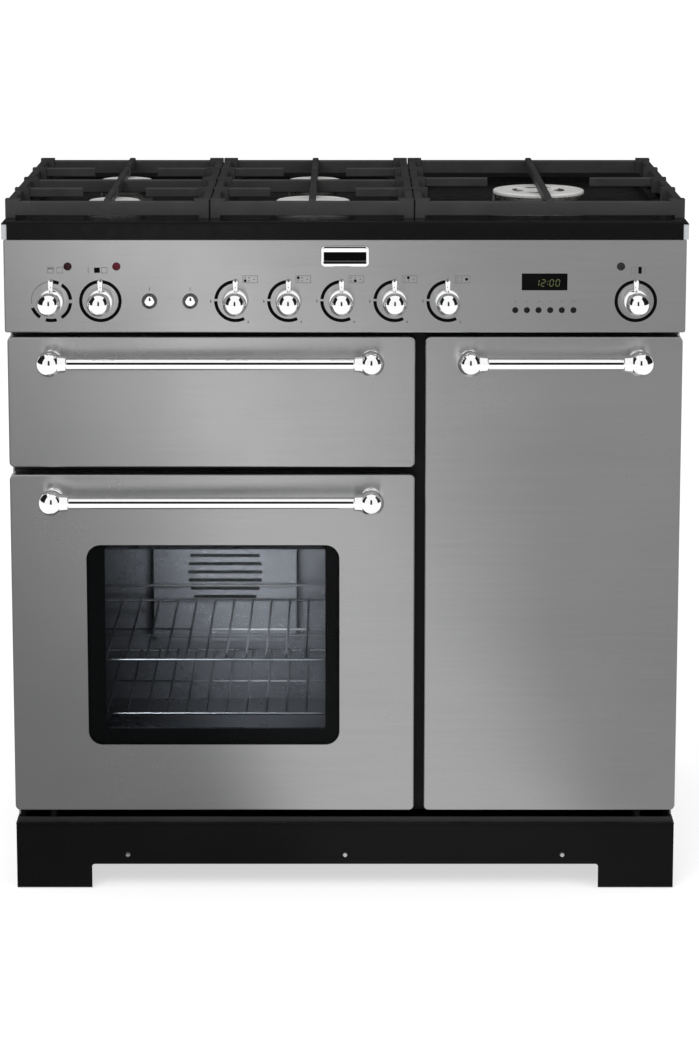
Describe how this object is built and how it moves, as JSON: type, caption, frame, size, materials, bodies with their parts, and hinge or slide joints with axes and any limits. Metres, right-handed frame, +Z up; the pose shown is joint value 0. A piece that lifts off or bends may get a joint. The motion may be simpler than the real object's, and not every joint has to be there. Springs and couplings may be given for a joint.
{
  "type": "cooking stove",
  "caption": "Wide free-standing range cooker in brushed steel with a gas hob, drop-down grill door, glazed oven, tall side oven and a black plinth.",
  "frame": {"origin": "on the floor, under the middle of the cooker's box", "axes": "+Z up, +X to the viewer's right when facing the doors, +Y to the back of the cooker"},
  "size_m": [0.9, 0.6434, 0.942],
  "materials": {
    "brushed_steel": "vertically brushed",
    "side_paint": "satin",
    "zinc_plate": "dull",
    "black_paint": "satin",
    "plinth_paint": "gloss",
    "hob_enamel": "gloss enamel",
    "oven_enamel": "speckled enamel",
    "cast_iron": "matt enamel",
    "burner_alloy": "satin",
    "tube_alloy": "satin",
    "brass": "plain",
    "chrome": "polished",
    "wire_chrome": "bright",
    "door_glass": "clear with a black border",
    "clock_plastic": "gloss",
    "button_plastic": "satin",
    "lamp_lens": "gloss",
    "seal_rubber": "matt",
    "foot_plastic": "matt",
    "element_alloy": "heat darkened"
  },
  "bodies": {
    "range": {"back_panel": "zinc_plate", "base_frame": "black_paint", "burner_bases": "tube_alloy", "burner_caps": "burner_alloy", "burner_heads": "burner_alloy", "clock_display": "clock_plastic", "control_panel": "brushed_steel", "door_seals": "seal_rubber", "fan_housings": "oven_enamel", "front_frame": "black_paint", "gas_pipework": "tube_alloy", "grill_cavity": "oven_enamel", "grill_element": "element_alloy", "grill_pan": "oven_enamel", "hob_top": "hob_enamel", "indicator_lenses": "lamp_lens", "left_oven_cavity": "oven_enamel", "oven_shelves": "wire_chrome", "panel_trims": "chrome", "plinth": "plinth_paint", "plinth_screws": "wire_chrome", "right_oven_cavity": "oven_enamel", "shelf_ladders": "wire_chrome", "side_panels": "side_paint", "taps_and_switches": "brass"},
    "grill_door": {"grill_door_panel": "brushed_steel", "grill_door_liner": "oven_enamel", "grill_door_handle": "chrome"},
    "left_oven_door": {"left_door_panel": "brushed_steel", "left_door_liner": "oven_enamel", "left_door_glass": "door_glass", "left_door_handle": "chrome"},
    "right_oven_door": {"right_door_panel": "brushed_steel", "right_door_liner": "oven_enamel", "right_door_handle": "chrome"},
    "levelling_foot_left": {"levelling_foot_left": "foot_plastic"},
    "levelling_foot_right": {"levelling_foot_right": "foot_plastic"},
    "roller_left": {"roller_left": "foot_plastic"},
    "roller_right": {"roller_right": "foot_plastic"},
    "pan_support_left": {"pan_support_left": "cast_iron"},
    "pan_support_centre": {"pan_support_centre": "cast_iron"},
    "pan_support_right": {"pan_support_right": "cast_iron"},
    "grill_knob": {"grill_knob": "chrome"},
    "left_oven_knob": {"left_oven_knob": "chrome"},
    "right_oven_knob": {"right_oven_knob": "chrome"},
    "oven_light_button": {"oven_light_button": "chrome"},
    "spark_button": {"spark_button": "chrome"},
    "left_oven_fan": {"left_oven_fan": "tube_alloy"},
    "right_oven_fan": {"right_oven_fan": "tube_alloy"},
    "hob_knob_1": {"hob_knob_1": "chrome"},
    "hob_knob_2": {"hob_knob_2": "chrome"},
    "hob_knob_3": {"hob_knob_3": "chrome"},
    "hob_knob_4": {"hob_knob_4": "chrome"},
    "hob_knob_5": {"hob_knob_5": "chrome"},
    "clock_button_1": {"clock_button_1": "button_plastic"},
    "clock_button_2": {"clock_button_2": "button_plastic"},
    "clock_button_3": {"clock_button_3": "button_plastic"},
    "clock_button_4": {"clock_button_4": "button_plastic"},
    "clock_button_5": {"clock_button_5": "button_plastic"},
    "clock_button_6": {"clock_button_6": "button_plastic"}
  },
  "joints": [
    {"name": "grill_door_drop", "type": "hinge", "parent": "range", "child": "grill_door", "pos_m": [-0.1765, -0.25125, 0.596], "axis": [1, 0, 0], "range_deg": [0, 90]},
    {"name": "left_oven_door_swing", "type": "hinge", "parent": "range", "child": "left_oven_door", "pos_m": [-0.444, -0.23525, 0.344], "axis": [0, 0, -1], "range_deg": [0, 110]},
    {"name": "right_oven_door_swing", "type": "hinge", "parent": "range", "child": "right_oven_door", "pos_m": [0.444, -0.23525, 0.437], "axis": [0, 0, 1], "range_deg": [0, 110]},
    {"name": "hob_knob_1_turn", "type": "hinge", "parent": "range", "child": "hob_knob_1", "pos_m": [-0.14399, -0.27425, 0.811], "axis": [0, -1, 0], "range_deg": [0, 210]},
    {"name": "hob_knob_2_turn", "type": "hinge", "parent": "range", "child": "hob_knob_2", "pos_m": [-0.07428, -0.27425, 0.811], "axis": [0, -1, 0], "range_deg": [0, 210]},
    {"name": "hob_knob_3_turn", "type": "hinge", "parent": "range", "child": "hob_knob_3", "pos_m": [-0.00457, -0.27425, 0.811], "axis": [0, -1, 0], "range_deg": [0, 210]},
    {"name": "hob_knob_4_turn", "type": "hinge", "parent": "range", "child": "hob_knob_4", "pos_m": [0.06514, -0.27425, 0.811], "axis": [0, -1, 0], "range_deg": [0, 210]},
    {"name": "hob_knob_5_turn", "type": "hinge", "parent": "range", "child": "hob_knob_5", "pos_m": [0.13485, -0.27425, 0.811], "axis": [0, -1, 0], "range_deg": [0, 210]},
    {"name": "left_oven_knob_turn", "type": "hinge", "parent": "range", "child": "left_oven_knob", "pos_m": [-0.32149, -0.27425, 0.811], "axis": [0, 1, 0], "range_deg": [0, 270]},
    {"name": "right_oven_knob_turn", "type": "hinge", "parent": "range", "child": "right_oven_knob", "pos_m": [0.38201, -0.27425, 0.811], "axis": [0, 1, 0], "range_deg": [0, 270]},
    {"name": "grill_knob_turn", "type": "hinge", "parent": "range", "child": "grill_knob", "pos_m": [-0.38649, -0.27425, 0.811], "axis": [0, 1, 0], "range_deg": [-150, 150]},
    {"name": "oven_light_button_press", "type": "slide", "parent": "range", "child": "oven_light_button", "axis": [0, 1, 0], "range_m": [0, 0.003], "stiffness_N_per_m": 400, "springref_m": -0.001},
    {"name": "spark_button_press", "type": "slide", "parent": "range", "child": "spark_button", "axis": [0, 1, 0], "range_m": [0, 0.003], "stiffness_N_per_m": 400, "springref_m": -0.001},
    {"name": "clock_button_1_press", "type": "slide", "parent": "range", "child": "clock_button_1", "axis": [0, 1, 0], "range_m": [0, 0.0012], "stiffness_N_per_m": 200, "springref_m": -0.0005},
    {"name": "clock_button_2_press", "type": "slide", "parent": "range", "child": "clock_button_2", "axis": [0, 1, 0], "range_m": [0, 0.0012], "stiffness_N_per_m": 200, "springref_m": -0.0005},
    {"name": "clock_button_3_press", "type": "slide", "parent": "range", "child": "clock_button_3", "axis": [0, 1, 0], "range_m": [0, 0.0012], "stiffness_N_per_m": 200, "springref_m": -0.0005},
    {"name": "clock_button_4_press", "type": "slide", "parent": "range", "child": "clock_button_4", "axis": [0, 1, 0], "range_m": [0, 0.0012], "stiffness_N_per_m": 200, "springref_m": -0.0005},
    {"name": "clock_button_5_press", "type": "slide", "parent": "range", "child": "clock_button_5", "axis": [0, 1, 0], "range_m": [0, 0.0012], "stiffness_N_per_m": 200, "springref_m": -0.0005},
    {"name": "clock_button_6_press", "type": "slide", "parent": "range", "child": "clock_button_6", "axis": [0, 1, 0], "range_m": [0, 0.0012], "stiffness_N_per_m": 200, "springref_m": -0.0005},
    {"name": "roller_left_roll", "type": "hinge", "parent": "range", "child": "roller_left", "pos_m": [-0.395, 0.26675, 0.02], "axis": [1, 0, 0], "continuous": true},
    {"name": "levelling_foot_left_screw", "type": "slide", "parent": "range", "child": "levelling_foot_left", "axis": [0, 0, -1], "range_m": [0, 0.02]},
    {"name": "roller_right_roll", "type": "hinge", "parent": "range", "child": "roller_right", "pos_m": [0.395, 0.26675, 0.02], "axis": [1, 0, 0], "continuous": true},
    {"name": "levelling_foot_right_screw", "type": "slide", "parent": "range", "child": "levelling_foot_right", "axis": [0, 0, -1], "range_m": [0, 0.02]},
    {"name": "pan_support_left_lift", "type": "slide", "parent": "range", "child": "pan_support_left", "axis": [0, 0, 1], "range_m": [0, 0.06]},
    {"name": "pan_support_centre_lift", "type": "slide", "parent": "range", "child": "pan_support_centre", "axis": [0, 0, 1], "range_m": [0, 0.06]},
    {"name": "pan_support_right_lift", "type": "slide", "parent": "range", "child": "pan_support_right", "axis": [0, 0, 1], "range_m": [0, 0.06]},
    {"name": "left_oven_fan_spin", "type": "hinge", "parent": "range", "child": "left_oven_fan", "pos_m": [-0.1765, 0.16975, 0.343], "axis": [0, 1, 0], "continuous": true},
    {"name": "right_oven_fan_spin", "type": "hinge", "parent": "range", "child": "right_oven_fan", "pos_m": [0.276, 0.16975, 0.435], "axis": [0, 1, 0], "continuous": true}
  ]
}
